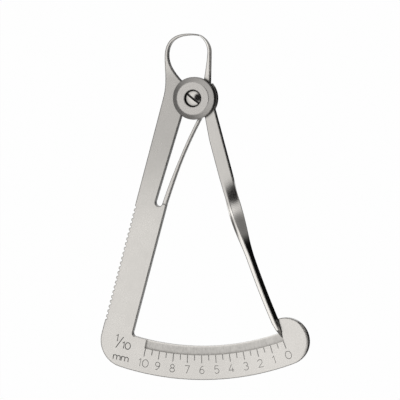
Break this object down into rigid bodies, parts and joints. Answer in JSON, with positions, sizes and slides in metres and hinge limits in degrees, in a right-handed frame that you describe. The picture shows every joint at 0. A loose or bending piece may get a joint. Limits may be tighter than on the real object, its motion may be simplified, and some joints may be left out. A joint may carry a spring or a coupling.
{
  "type": "dental spring caliper",
  "caption": "Spring caliper with curved measuring jaws, a notched steel frame with an engraved arc scale, and a sprung twisted pointer arm that turns on a screwed pivot.",
  "frame": {"origin": "on the pivot axis, on the back plane that the instrument lies on", "axes": "+Z out of the face that is read, along the pivot axis; +Y from the pivot towards the jaw points; +X to the reader's right, towards the zero mark"},
  "size_m": [0.0617, 0.0995, 0.0048],
  "materials": {
    "satin_steel": "satin ground",
    "spring_steel": "satin ground",
    "turned_steel": "finely turned",
    "screw_steel": "polished"
  },
  "bodies": {
    "frame": {"scale_frame": "satin_steel", "leaf_spring": "spring_steel", "pivot_barrel": "turned_steel", "front_disc": "turned_steel", "pivot_screw": "screw_steel"},
    "pointer": {"pointer_arm": "satin_steel"}
  },
  "joints": [
    {"name": "pointer_pivot", "type": "hinge", "parent": "frame", "child": "pointer", "pos_m": [0, 0, 0.001], "axis": [0, 0, -1], "range_deg": [0, 32.26], "stiffness_Nm_per_rad": 0.03, "springref_deg": -28.65, "deforming": ["leaf_spring"]}
  ]
}
